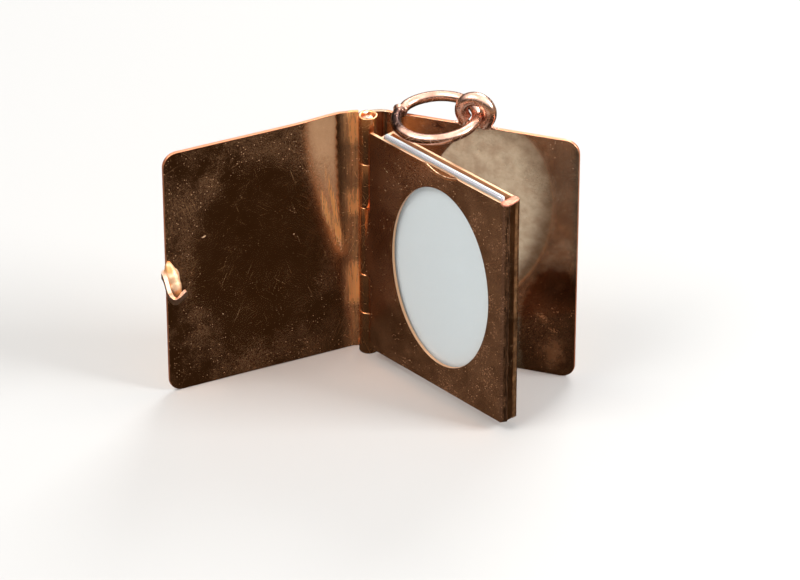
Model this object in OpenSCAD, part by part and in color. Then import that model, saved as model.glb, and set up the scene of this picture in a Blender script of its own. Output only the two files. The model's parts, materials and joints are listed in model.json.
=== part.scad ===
// Book locket: two thin sheet covers and a picture page turn on one upright hinge pin.
// It stands open on the bottom edges of its covers. The back cover lies along +X, the pin
// along +Z, and the origin is at the middle of the box round the whole piece, on the floor.

/* [Covers] */
// Width of a cover, from the hinge axis to its fore edge
cover_w = 18.3; // [16:0.1:22]
// Height of a cover
cover_h = 23.6; // [20:0.1:28]
// Thickness of the cover sheet
sheet_t = 0.33; // [0.25:0.01:0.45]
// Radius of the two outer corners of a cover
corner_r = 1.25; // [0.8:0.05:2]
// Gap between a closed cover and the page
cover_gap = 0.17; // [0.12:0.01:0.3]
// Distance from the hinge axis at which a cover starts to bend in to its knuckles
bend_start = 1.1; // [0.9:0.05:1.4]
// Angle of that bend
bend_angle = 25; // [20:1:30]
// Radius of that bend at the middle of the sheet
bend_r = 0.8; // [0.6:0.05:1]

/* [Hinge] */
// Outer diameter of the hinge tube
tube_d = 1.66; // [1.4:0.02:1.7]
// Diameter of the hinge pin
pin_d = 1; // [0.8:0.02:1.1]
// Radial clearance of the pin in the knuckles
pin_clear = 0.06; // [0.03:0.01:0.09]
// Gap between two neighbouring knuckles
knuckle_gap = 0.06; // [0.04:0.01:0.1]
// Length of the lowest knuckle, on the back cover
low_knuckle = 4.15; // [3.5:0.05:4.6]
// Length of the lower knuckle of the front cover
low_front_knuckle = 3.85; // [3.2:0.05:4.4]
// Length of the knuckle of the page
page_knuckle = 6.65; // [5.5:0.05:7.2]
// Length of the upper knuckle of the front cover
high_front_knuckle = 4.25; // [3.6:0.05:4.8]
// Depth of the pin's ends below the ends of the tube
pin_recess = 0.16; // [0.1:0.01:0.3]
// Height of the round of the pin's peened ends
pin_round = 0.14; // [0.08:0.01:0.2]
// Diameter of the flat on those ends
pin_flat_d = 0.6; // [0.4:0.02:0.7]
// Clearance of a cover's sheet round the knuckles of the other leaves
leaf_clear = 0.08; // [0.06:0.01:0.12]

/* [Page] */
// Thickness of the page frame over both plates
page_t = 1.7; // [1.66:0.02:2]
// Thickness of the page's front plate
front_plate_t = 0.27; // [0.2:0.01:0.35]
// Thickness of the page's back plate
back_plate_t = 0.25; // [0.2:0.01:0.35]
// Thickness of the page's spine wall and bottom wall
page_wall = 0.25; // [0.2:0.01:0.4]
// Width of the solid bar along the page's fore edge
page_bar = 0.75; // [0.5:0.05:1.2]
// Distance of the front plate's inner edge from the hinge axis
plate_start = 1.1; // [1:0.05:1.4]
// Distance of the page's box from the hinge axis
box_start = 2.2; // [1.8:0.05:2.6]
// Gap from the page's fore edge to the covers' fore edge
page_fore_gap = 0.95; // [0.8:0.05:1.5]
// Gap from the page's top to the covers' top
page_top_gap = 1; // [0.9:0.05:1.6]
// Gap from the page's bottom to the covers' bottom
page_bottom_gap = 1; // [0.6:0.05:1.6]
// Radius of the page's fore edge where the front plate folds round
fold_r = 0.45; // [0.3:0.05:0.6]
// Radius of the page's rear fore edge
rear_r = 0.12; // [0.05:0.01:0.2]
// Width of the oval windows
window_w = 11.6; // [9:0.1:13]
// Height of the oval windows
window_h = 17.3; // [14:0.1:19]
// Shift of the windows from the middle of the page's box towards the hinge
window_shift_x = 0.1; // [0:0.05:0.4]
// Shift of the windows above the middle of the page
window_shift_z = 0.25; // [0:0.05:0.6]
// Length of the shallow thumb nick at the top of the front plate
nick_w = 4; // [3:0.1:5]
// Height of the thumb nick
nick_h = 0.5; // [0.3:0.05:0.8]
// Depth of the thumb nick at the top edge
nick_depth = 0.13; // [0.08:0.01:0.16]

/* [Picture insert] */
// Thickness of the clear window pane
pane_t = 0.15; // [0.1:0.01:0.25]
// Thickness of the picture paper
paper_t = 0.2; // [0.12:0.01:0.3]
// Gap round the pane and the paper
insert_gap = 0.04; // [0.02:0.01:0.08]
// Height of the pane above the page's top
pane_rise = 0.22; // [0.1:0.02:0.65]
// Height of the paper above the page's top
paper_rise = 0.28; // [0.1:0.02:0.75]

/* [Eye and jump ring] */
// Distance of the eye from the hinge axis
eye_x = 9.15; // [7:0.05:11]
// Centreline diameter of the eye
eye_d = 2.6; // [2.4:0.05:3]
// Thickness of the eye's wire
eye_wire = 0.9; // [0.8:0.05:1]
// Height of the eye's centre above the cover's top edge
eye_rise = 1.27; // [1.2:0.01:1.45]
// Width of the solder fillet at each foot of the eye
foot_w = 0.4; // [0.2:0.05:0.6]
// Height of that fillet
foot_h = 0.45; // [0.3:0.05:0.6]
// Thickness of that fillet
foot_t = 0.5; // [0.4:0.02:0.7]
// Centreline diameter of the jump ring
ring_d = 6.84; // [6:0.02:8]
// Thickness of the jump ring's wire
ring_wire = 0.92; // [0.8:0.02:1]
// Direction in which the ring lies from the eye, turned from the cover to the front
ring_yaw = 19.9; // [10:0.5:30]
// Angle by which the ring's far side droops
ring_droop = 4.8; // [4:0.1:5.5]
// Angle by which the ring leans to the front
ring_lean = 1.8; // [0:0.1:2.5]
// Height of the ring's wire in the eye, below the eye's centre
ring_low = 0.2; // [0:0.02:0.3]
// Shift of the ring's wire in the eye, away from the hinge
ring_shift = 0.12; // [0:0.02:0.25]
// Place of the ring's seam round the ring, from the eye
seam_at = 152; // [120:1:170]
// Width of the seam
seam_w = 0.09; // [0.06:0.01:0.2]
// Diameter of the burr round the seam's front end
burr_d = 1.06; // [1:0.01:1.15]
// Thickness of that burr
burr_t = 0.1; // [0.06:0.01:0.2]

/* [Catch] */
// Thickness of the catch's strip
catch_t = 0.3; // [0.25:0.01:0.4]
// Height of the catch's strip
catch_h = 0.62; // [0.45:0.01:1]
// Reach of the catch's lip over the other cover
catch_lip = 0.72; // [0.5:0.02:1]
// Clearance of the closed catch round the other cover
catch_clear = 0.07; // [0.05:0.01:0.12]
// Outer radius of the catch's bend
catch_r = 0.5; // [0.4:0.02:0.65]
// Drop of the catch's strip below the middle of the cover
catch_drop = 0.8; // [0:0.05:1.2]
// Width of the pad that the catch is soldered with
pad_w = 1.2; // [0.6:0.05:1.3]
// Height of that pad
pad_h = 3; // [2:0.1:4]
// Thickness of that pad
pad_t = 0.12; // [0.08:0.01:0.16]

/* [Pose] */
// Angle from the back cover to the page
page_open = 28.4; // [20:0.1:50]
// Angle from the page to the front cover
front_open = 108.7; // [90:0.1:130]

/* [Hidden] */
$fn = 64;
eps = 0.01;
cut = 1;
oval_steps = 96;
bend_steps = 6;
foot_steps = 4;
foot_sink = 0.05;
sheet_root_share = 0.36;
clear_root_share = 0.55;
page_root_share = 0.42;
gold = [0.85, 0.56, 0.4];

// Covers
cover_in = page_t / 2 + cover_gap;
cover_mid = cover_in + sheet_t / 2;
cover_out = cover_in + sheet_t;

// Hinge, where each leaf ends beside or inside its own tube at a share of the tube's radius
tube_r = tube_d / 2;
bore_r = pin_d / 2 + pin_clear;
low_front_z = low_knuckle + knuckle_gap;
page_knuckle_z = low_front_z + low_front_knuckle + knuckle_gap;
high_front_z = page_knuckle_z + page_knuckle + knuckle_gap;
top_z = high_front_z + high_front_knuckle + knuckle_gap;
sheet_root = tube_r * sheet_root_share;
clear_root = tube_r * clear_root_share;
page_root = tube_r * page_root_share;
page_clear = max(page_t / 2, tube_r) + leaf_clear;

// Page
page_w = cover_w - page_fore_gap;
page_z = page_bottom_gap;
page_h = cover_h - page_top_gap - page_bottom_gap;
page_top = page_z + page_h;
window_x = (box_start + page_w) / 2 - window_shift_x;
window_z = page_z + page_h / 2 + window_shift_z;
slot_x = box_start + page_wall;
slot_w = page_w - page_bar - slot_x;
slot_y = -page_t / 2 + front_plate_t;
slot_t = page_t - front_plate_t - back_plate_t;
slot_z = page_z + page_wall;
nick_r = (pow(nick_w / 2, 2) + pow(nick_h, 2)) / (2 * nick_h);
nick_ball_r = (pow(nick_r, 2) - pow(nick_r - nick_h, 2)) / (2 * nick_depth);
nick_out = sqrt(pow(nick_ball_r, 2) - pow(nick_r, 2));

// Eye and ring
eye_z = cover_h + eye_rise;
ring_r = ring_d / 2;
ring_at = [eye_x + ring_shift, cover_mid, eye_z - ring_low];
seam_angle = seam_w / ring_r * 180 / PI;

// Catch, about the middle of the cover's height
catch_z = cover_h / 2 - catch_drop;
catch_edge = cover_w + catch_clear + catch_t;
catch_top = cover_out + catch_clear + catch_t;

// Directions of the leaves, and the middle of the box round the standing locket
page_dir = -page_open;
front_dir = -page_open - front_open;
ring_mid = [
    ring_at[0] - ring_r * cos(ring_yaw),
    ring_at[1] - ring_r * sin(ring_yaw)
];
ring_out = ring_r + ring_wire / 2;
bend_x = catch_edge - catch_r;
box_x0 = bend_x * cos(front_dir) + (cover_out - catch_r) * sin(front_dir) - catch_r;
box_y0 = bend_x * sin(front_dir) + (catch_top - catch_r) * cos(front_dir) - catch_r;
box_y1 = ring_mid[1] + ring_out;
spine = [-(box_x0 + cover_w) / 2, -(box_y0 + box_y1) / 2, 0];

// Places a leaf, drawn along +X from the hinge axis, at its angle round the hinge
module leaf(direction) {
    translate(spine) rotate([0, 0, direction]) children();
}

// A point of the bent sheet, at distance across from the middle of the sheet
function bend_point(turn, across) = [
    bend_start - (bend_r + across) * sin(turn),
    cover_mid - bend_r + (bend_r + across) * cos(turn)
];

// The point where a face of the sheet, run straight on from the bend, ends beside the tube
function root_point(across) =
    let (from = bend_point(bend_angle, across),
         run = (bend_point(bend_angle, -sheet_t / 2)[0] - sheet_root) / cos(bend_angle))
    [from[0] - run * cos(bend_angle), from[1] - run * sin(bend_angle)];

// Plan of a cover's sheet, lying on the +Y side of the hinge
module sheet_plan() {
    turns = [for (i = [0 : bend_steps]) bend_angle * i / bend_steps];
    back = [for (i = [bend_steps : -1 : 0]) bend_angle * i / bend_steps];
    polygon(concat(
        [[cover_w, cover_in]],
        [for (a = turns) bend_point(a, -sheet_t / 2)],
        [root_point(-sheet_t / 2), root_point(sheet_t / 2)],
        [for (a = back) bend_point(a, sheet_t / 2)],
        [[cover_w, cover_out]]
    ));
}

// What has to come off a sheet to round its two outer corners
module corner_cuts() {
    for (z = [0, cover_h])
        translate([cover_w, 0, z]) mirror([0, 0, z > 0 ? 1 : 0])
            difference() {
                translate([-corner_r, -eps, -corner_r])
                    cube([2 * corner_r, cover_out + 2 * eps, 2 * corner_r]);
                translate([-corner_r, -2 * eps, corner_r]) rotate([-90, 0, 0])
                    cylinder(r = corner_r, h = cover_out + 4 * eps);
            }
}

// Room in a sheet for the knuckles of the other leaves, from height z upwards
module knuckle_room(z, length) {
    translate([-cover_w / 2, -eps, z - knuckle_gap]) {
        cube([cover_w / 2 + clear_root, cover_out + 2 * eps, length + 2 * knuckle_gap]);
        cube([cover_w / 2 + bend_start, page_clear + eps, length + 2 * knuckle_gap]);
    }
}

module tube(z, length) {
    translate([0, 0, z]) cylinder(r = tube_r, h = length);
}

module bore() {
    translate([0, 0, -cut]) cylinder(r = bore_r, h = cover_h + 2 * cut);
}

// A cover on the +Y side of the hinge, with knuckles at the given heights and lengths,
// and room for those of the other leaves
module cover(own, others) {
    difference() {
        union() {
            difference() {
                linear_extrude(cover_h) sheet_plan();
                corner_cuts();
                for (k = others) knuckle_room(k[0], k[1]);
            }
            for (k = own) tube(k[0], k[1]);
        }
        bore();
    }
}

back_knuckles = [[0, low_knuckle], [top_z, cover_h - top_z]];
front_knuckles = [[low_front_z, low_front_knuckle], [high_front_z, high_front_knuckle]];
page_knuckles = [[page_knuckle_z, page_knuckle]];

// One solder fillet between the eye's wire and the cover's top edge
module eye_foot() {
    low = sqrt(pow(eye_d / 2 + eye_wire / 2, 2) - pow(eye_rise, 2));
    high = sqrt(pow(eye_d / 2 + eye_wire / 2, 2) - pow(eye_rise - foot_h, 2));
    curve = [for (i = [0 : foot_steps]) 90 * i / foot_steps];
    translate([0, foot_t / 2, 0]) rotate([90, 0, 0]) linear_extrude(foot_t)
        polygon(concat(
            [[low - foot_sink, foot_h], [low - foot_sink, -foot_sink], [low + foot_w, -foot_sink]],
            [for (a = curve) [high + (low + foot_w - high) * (1 - sin(a)), foot_h * (1 - cos(a))]]
        ));
}

// The eye: a round wire loop, filed flat where it is soldered on the top edge
module eye() {
    translate([eye_x, cover_mid, cover_h]) {
        difference() {
            translate([0, 0, eye_rise]) rotate([90, 0, 0])
                rotate_extrude() translate([eye_d / 2, 0]) circle(d = eye_wire);
            translate([-eye_d, -eye_d, -2 * eye_d - foot_sink]) cube([2 * eye_d, 2 * eye_d, 2 * eye_d]);
        }
        for (side = [0, 1]) mirror([side, 0, 0]) eye_foot();
    }
}

module back_cover() {
    color(gold) leaf(0) {
        cover(back_knuckles, concat(front_knuckles, page_knuckles));
        eye();
    }
}

// Plan of the catch: a strip that wraps the fore edge and turns in behind the other cover
module catch_plan() {
    x0 = cover_w - catch_lip;
    difference() {
        translate([x0, -cover_out]) square([catch_edge - x0, catch_top + cover_out]);
        translate([x0 - cut, -cover_out + catch_t])
            square([catch_edge - catch_t - x0 + cut, catch_top + cover_out - 2 * catch_t]);
        for (side = [0, 1]) mirror([0, side])
            translate([catch_edge - catch_r, (side == 0 ? catch_top : cover_out) - catch_r])
                difference() {
                    square(catch_r + eps);
                    circle(r = catch_r);
                }
    }
}

// Outline of the pad that carries the catch, as shares of the pad's width and height
pad_shares = [
    [0, 0.5], [0.35, 0.46], [0.85, 0.25], [1, 0.1],
    [1, -0.3], [0.8, -0.44], [0.4, -0.5], [0, -0.5]
];

module pad_outline() {
    polygon([for (p = pad_shares) [pad_w * p[0], pad_h * p[1]]]);
}

module front_cover() {
    color(gold) leaf(front_dir) {
        mirror([0, 1, 0]) cover(front_knuckles, concat(back_knuckles, page_knuckles));
        translate([0, 0, catch_z]) linear_extrude(catch_h) catch_plan();
        translate([cover_w, -cover_in + pad_t, cover_h / 2]) mirror([1, 0, 0])
            rotate([90, 0, 0]) linear_extrude(pad_t + sheet_t / 2) pad_outline();
    }
}

module hinge_pin() {
    body = cover_h - 2 * pin_recess - 2 * pin_round;
    color([0.75, 0.5, 0.36]) leaf(0) translate([0, 0, pin_recess]) {
        cylinder(d1 = pin_flat_d, d2 = pin_d, h = pin_round);
        translate([0, 0, pin_round]) cylinder(d = pin_d, h = body);
        translate([0, 0, pin_round + body]) cylinder(d1 = pin_d, d2 = pin_flat_d, h = pin_round);
    }
}

// Plan of one rounded corner's waste, with the corner at the origin and the solid at -X, -Y
module round_off(r) {
    translate([-r, -r]) difference() {
        square(r + eps);
        circle(r = r);
    }
}

// Plan of the page's box and front plate, before the slot is cut
module page_plan() {
    difference() {
        union() {
            translate([plate_start, -page_t / 2]) square([page_w - plate_start, front_plate_t]);
            translate([box_start, -page_t / 2]) square([page_w - box_start, page_t]);
        }
        translate([page_w, page_t / 2]) round_off(rear_r);
        translate([page_w, -page_t / 2]) mirror([0, 1]) round_off(fold_r);
    }
}

// The oval through both plates
module window_cut() {
    translate([window_x, page_t, window_z]) rotate([90, 0, 0]) linear_extrude(2 * page_t)
        polygon([for (i = [0 : oval_steps - 1])
            [window_w / 2 * cos(360 * i / oval_steps), window_h / 2 * sin(360 * i / oval_steps)]]);
}

// A shallow scoop in the front plate's face, under its top edge
module nick_cut() {
    translate([window_x, -page_t / 2 - nick_out, page_top + nick_r - nick_h])
        sphere(r = nick_ball_r);
}

module page_frame() {
    color(gold) leaf(page_dir) difference() {
        union() {
            difference() {
                translate([0, 0, page_z]) linear_extrude(page_h) page_plan();
                translate([slot_x, slot_y, slot_z]) cube([slot_w, slot_t, page_h]);
                window_cut();
                nick_cut();
            }
            translate([page_root, -page_t / 2, page_knuckle_z])
                cube([plate_start - page_root + eps, front_plate_t, page_knuckle]);
            for (k = page_knuckles) tube(k[0], k[1]);
        }
        bore();
    }
}

// A flat sheet in the page's slot, at depth y behind the front plate, standing up by rise
module slot_sheet(y, t, rise) {
    translate([slot_x + insert_gap, slot_y + y, slot_z + insert_gap])
        cube([slot_w - 2 * insert_gap, t, page_top + rise - slot_z - insert_gap]);
}

module window_pane() {
    color([0.85, 0.93, 0.95, 0.4]) leaf(page_dir) slot_sheet(insert_gap, pane_t, pane_rise);
}

module paper_insert() {
    color([0.81, 0.87, 0.89]) leaf(page_dir) slot_sheet(2 * insert_gap + pane_t, paper_t, paper_rise);
}

// The jump ring, drawn with the eye at the origin and its own centre along -X
module jump_ring() {
    color([0.9, 0.62, 0.47]) translate(spine) translate(ring_at)
        rotate([ring_lean, -ring_droop, ring_yaw]) translate([-ring_r, 0, 0])
            rotate([0, 0, seam_at]) {
                rotate_extrude(angle = 360 - seam_angle) translate([ring_r, 0]) circle(d = ring_wire);
                translate([ring_r, 0, 0]) rotate([-90, 0, 0]) cylinder(d = burr_d, h = burr_t);
            }
}

back_cover();
front_cover();
hinge_pin();
page_frame();
window_pane();
paper_insert();
jump_ring();
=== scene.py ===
# %% [markdown]
# # A book locket in worn rose gold
# The locket stands open like a small book: two thin gold covers, and between them a page that
# holds a picture behind an oval window. Everything turns on one upright pin. The measured model
# comes first and stays where it is, so that each piece made here has a place to go to.

# %% Load the measured model
import json
import math
from functools import partial

import bpy
from mathutils import Matrix, Vector, noise


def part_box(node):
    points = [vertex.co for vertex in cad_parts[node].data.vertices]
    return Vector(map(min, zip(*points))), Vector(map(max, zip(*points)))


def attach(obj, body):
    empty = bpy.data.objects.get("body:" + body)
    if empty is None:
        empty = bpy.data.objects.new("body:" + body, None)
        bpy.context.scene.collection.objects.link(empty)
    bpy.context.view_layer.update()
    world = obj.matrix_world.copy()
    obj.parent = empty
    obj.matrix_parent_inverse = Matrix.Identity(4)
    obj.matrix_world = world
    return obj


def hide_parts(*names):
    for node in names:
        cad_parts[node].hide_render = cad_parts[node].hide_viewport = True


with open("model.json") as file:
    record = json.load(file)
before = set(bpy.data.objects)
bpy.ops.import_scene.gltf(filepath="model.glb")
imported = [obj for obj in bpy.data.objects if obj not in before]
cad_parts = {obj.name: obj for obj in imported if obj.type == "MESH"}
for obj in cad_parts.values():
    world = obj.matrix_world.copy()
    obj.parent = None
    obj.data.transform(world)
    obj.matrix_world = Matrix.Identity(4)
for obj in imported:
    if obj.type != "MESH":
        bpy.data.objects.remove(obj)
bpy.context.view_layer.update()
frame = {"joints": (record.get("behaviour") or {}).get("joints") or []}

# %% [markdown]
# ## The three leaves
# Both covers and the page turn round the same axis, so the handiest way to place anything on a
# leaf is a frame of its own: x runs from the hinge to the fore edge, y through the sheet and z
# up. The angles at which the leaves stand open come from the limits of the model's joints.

MM = 0.001
joints = {joint["name"]: joint for joint in frame["joints"]}
hinge = Vector(joints["page_hinge"]["pos_m"])
hinge.z = 0
page_turn = math.radians(joints["page_hinge"]["range_deg"][0])
front_turn = page_turn + math.radians(joints["front_hinge"]["range_deg"][0])
TURN = {"back_leaf": 0.0, "page_leaf": page_turn, "front_leaf": front_turn}
LEAF = {
    name: Matrix.Translation(hinge) @ Matrix.Rotation(turn, 4, "Z")
    for name, turn in TURN.items()
}
cover_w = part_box("back_cover")[1].x - hinge.x
cover_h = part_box("front_cover")[1].z
print(f"covers {cover_w / MM:.2f} by {cover_h / MM:.2f} mm, leaves at",
      {name: round(math.degrees(turn), 1) for name, turn in TURN.items()})

# %% [markdown]
# ## The camera
# A small thing is photographed from far away with a long lens, because a near camera would make
# its front edges loom. The camera looks down by about a third of a right angle, and the hinge
# stands a little left of the middle of the picture. The lens follows from two measures: how many
# pixels one millimetre takes up, and how far away the camera stands.

# %% Place the camera
image_w, image_h = 800, 580
pixels_per_mm = 11.67
camera_distance = 400 * MM
camera_drop = math.radians(32.5)
camera_turn = math.radians(17.9)
hinge_column = 368.3
hinge_middle_row = 231.5
sensor_w = 36

right = Matrix.Rotation(camera_turn, 3, "Z") @ Vector((1, 0, 0))
level = Matrix.Rotation(camera_turn, 3, "Z") @ Vector((0, 1, 0))
look = level * math.cos(camera_drop) - Vector((0, 0, math.sin(camera_drop)))
up = level * math.sin(camera_drop) + Vector((0, 0, math.cos(camera_drop)))
target = hinge + Vector((0, 0, 12 * MM))
target += right * (image_w / 2 - hinge_column) / pixels_per_mm * MM
target += up * (hinge_middle_row - image_h / 2) / pixels_per_mm * MM
camera_data = bpy.data.cameras.new("camera")
camera_data.sensor_width = sensor_w
camera_data.lens = sensor_w * pixels_per_mm * camera_distance / MM / image_w
camera_data.clip_start, camera_data.clip_end = 0.01, 20
camera = bpy.data.objects.new("camera", camera_data)
bpy.context.scene.collection.objects.link(camera)
camera.matrix_world = Matrix.Translation(target - look * camera_distance) @ Matrix((
    (right.x, up.x, -look.x, 0),
    (right.y, up.y, -look.y, 0),
    (right.z, up.z, -look.z, 0),
    (0, 0, 0, 1),
))
bpy.context.scene.camera = camera
bpy.context.scene.view_settings.view_transform = "Standard"

# %% [markdown]
# ## Small helpers
# A shader is a chain of nodes. One helper adds a node, sets its options and joins its inputs.
# Another turns the hex colours of a paint chart, which are sRGB, into the linear values that the
# renderer counts in, and a third carries a value softly from one range to another.

# %% Helpers for shaders
def linear(hex_colour, alpha=1.0):
    """Linear colour of an sRGB hex value such as #d9a08b."""
    parts = [int(hex_colour[i:i + 2], 16) / 255 for i in (1, 3, 5)]
    parts = [p / 12.92 if p <= 0.04045 else ((p + 0.055) / 1.055) ** 2.4 for p in parts]
    return (*parts, alpha)


def add(tree, kind, options=None, inputs=None):
    """Adds a node, sets its options, and sets or links its inputs."""
    node = tree.nodes.new(kind)
    for name, value in (options or {}).items():
        setattr(node, name, value)
    for key, value in (inputs or {}).items():
        if isinstance(value, bpy.types.NodeSocket):
            tree.links.new(value, node.inputs[key])
        else:
            node.inputs[key].default_value = value
    return node


def ramp(tree, value, low, high, start=0.0, end=1.0):
    """Carries a value from one range to another, softly, and stops at both ends."""
    return add(tree, "ShaderNodeMapRange", {"interpolation_type": "SMOOTHSTEP"},
               {"Value": value, "From Min": low, "From Max": high,
                "To Min": start, "To Max": end}).outputs[0]


def new_material(name):
    """An empty material, its tree and its Principled shader."""
    made = bpy.data.materials.new(name)
    made.use_nodes = True
    return made, made.node_tree, made.node_tree.nodes["Principled BSDF"]


# %% [markdown]
# ## Floor and light
# The floor is plain pale paper. Polished metal shows what lies round it more than a colour of its
# own, and upright faces seen from above mirror the floor. Jewellery photographers put dark cards
# there to keep gold from washing out. Here the floor round the locket and the horizon are dark to
# reflections alone, which does the work of such cards from every side, and the floor further out
# is paler to them. Soft light falls from the sky overhead and from three panels: a large one at
# the upper left, one behind and one at the right.

# %% Make the floor
card_from, card_to, far_gain = 45 * MM, 110 * MM, 11.0
floor_mesh = bpy.data.meshes.new("floor")
half = 1.5
floor_mesh.from_pydata([(-half, -half, 0), (half, -half, 0), (half, half, 0), (-half, half, 0)],
                       [], [(0, 1, 2, 3)])
floor = bpy.data.objects.new("floor", floor_mesh)
bpy.context.scene.collection.objects.link(floor)
floor_paper, tree, shader = new_material("pale floor paper")
tree.nodes.remove(shader)
rays = add(tree, "ShaderNodeLightPath")
pale = add(tree, "ShaderNodeBsdfDiffuse", inputs={"Color": linear("#cdcdcc")})
where = add(tree, "ShaderNodeTexCoord")
far = add(tree, "ShaderNodeVectorMath", {"operation": "LENGTH"}, {0: where.outputs["Object"]})
card = ramp(tree, far.outputs["Value"], card_from, card_to, 1.0, far_gain)
dark = add(tree, "ShaderNodeEmission", inputs={"Color": linear("#31281d"), "Strength": card})
mixed = add(tree, "ShaderNodeMixShader",
            inputs={0: rays.outputs["Is Glossy Ray"], 1: pale.outputs[0], 2: dark.outputs[0]})
tree.links.new(mixed.outputs[0], tree.nodes["Material Output"].inputs["Surface"])
floor_mesh.materials.append(floor_paper)

# %% Make the light
world = bpy.data.worlds.new("studio")
bpy.context.scene.world = world
world.use_nodes = True
tree = world.node_tree
where = add(tree, "ShaderNodeTexCoord")
axes = add(tree, "ShaderNodeSeparateXYZ", inputs={0: where.outputs["Generated"]})
horizon_glow, zenith_glow, seen_glow = 0.3, 0.62, 0.75
mirrored_horizon, mirrored_zenith = 0.03, 1.8
sky = ramp(tree, axes.outputs["Z"], 0.0, 0.8, horizon_glow, zenith_glow)
mirrored_sky = ramp(tree, axes.outputs["Z"], 0.18, 0.76, mirrored_horizon, mirrored_zenith)
rays = add(tree, "ShaderNodeLightPath")
lit = add(tree, "ShaderNodeMix", {"data_type": "FLOAT"},
          {0: rays.outputs["Is Glossy Ray"], 2: sky, 3: mirrored_sky})
seen = add(tree, "ShaderNodeMix", {"data_type": "FLOAT"},
           {0: rays.outputs["Is Camera Ray"], 2: lit.outputs[0], 3: seen_glow})
background = tree.nodes["Background"]
background.inputs["Color"].default_value = linear("#ffffff")
tree.links.new(seen.outputs[0], background.inputs["Strength"])


def soft_panel(name, place, aim, size, power, colour):
    """A square soft light that faces a point."""
    data = bpy.data.lights.new(name, "AREA")
    data.shape, data.size = "SQUARE", size
    data.energy, data.color = power, linear(colour)[:3]
    panel = bpy.data.objects.new(name, data)
    panel.location = place
    panel.rotation_euler = (Vector(aim) - Vector(place)).to_track_quat("-Z", "Y").to_euler()
    bpy.context.scene.collection.objects.link(panel)


middle = Vector((0, 0, 12 * MM))
for name, across, back, high, size, power, colour in (
        ("key_panel", -0.28, -0.16, 0.42, 0.26, 1.6, "#fffaf5"),
        ("back_panel", 0.14, 0.38, 0.30, 0.22, 1.2, "#ffffff"),
        ("side_panel", 0.34, -0.08, 0.20, 0.16, 1.5, "#ffffff")):
    spot = middle + right * across + level * back + Vector((0, 0, high))
    soft_panel(name, spot, middle, size, power, colour)

# %% [markdown]
# ## Cutting sheet metal
# Real covers start as a flat sheet: an outline is cut, its corners are rounded with a file, and
# then it is bent. The same order works here. An outline is filled with small triangles, each
# point is carried onto the bent form, and modifiers give the sheet its thickness and worn edges.
# Blender's constrained Delaunay fill keeps to the outline whatever its form, holes included, which
# a plain grid can't.

# %% Outlines
import numpy
from mathutils.geometry import delaunay_2d_cdt

ARC_STEPS = 7


def rounded(corners):
    """Outline in mm from square corners (x, y, radius), with an arc at each radius."""
    outline = []
    for i, (x, y, radius) in enumerate(corners):
        here = Vector((x, y))
        if radius == 0:
            outline.append(here)
            continue
        before = (Vector(corners[i - 1][:2]) - here).normalized()
        after = (Vector(corners[(i + 1) % len(corners)][:2]) - here).normalized()
        centre = here + (before + after) * radius
        for k in range(ARC_STEPS + 1):
            turn = math.pi / 2 * k / ARC_STEPS
            outline.append(centre - after * radius * math.cos(turn)
                           - before * radius * math.sin(turn))
    return outline


def oval(x, y, width, height, steps=112):
    """Outline of an oval hole."""
    turns = [2 * math.pi * i / steps for i in range(steps)]
    return [Vector((x + width / 2 * math.cos(t), y + height / 2 * math.sin(t))) for t in turns]


def split(loop, spacing):
    """The same loop with no side longer than the spacing."""
    points = []
    for a, b in zip(loop, loop[1:] + loop[:1]):
        parts = max(1, math.ceil((b - a).length / spacing))
        points += [a.lerp(b, k / parts) for k in range(parts)]
    return points


def inside(points, loop):
    """Which points lie inside a loop, by counting the sides that a ray crosses."""
    x, y = points[:, 0, None], points[:, 1, None]
    a = numpy.array(loop)
    b = numpy.roll(a, -1, axis=0)
    rise = numpy.where(a[:, 1] == b[:, 1], 1e-12, b[:, 1] - a[:, 1])
    crossing = a[:, 0] + (y - a[:, 1]) * (b[:, 0] - a[:, 0]) / rise
    hits = ((a[:, 1] > y) != (b[:, 1] > y)) & (x < crossing)
    return hits.sum(1) % 2 == 1


def room(points, loop):
    """Distance from each point to the nearest side of a loop."""
    a = numpy.array(loop)
    side = numpy.roll(a, -1, axis=0) - a
    reach = points[:, None, :] - a
    along = numpy.clip((reach * side).sum(2) / (side ** 2).sum(1), 0, 1)
    return numpy.linalg.norm(reach - along[:, :, None] * side, axis=2).min(1)


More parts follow.
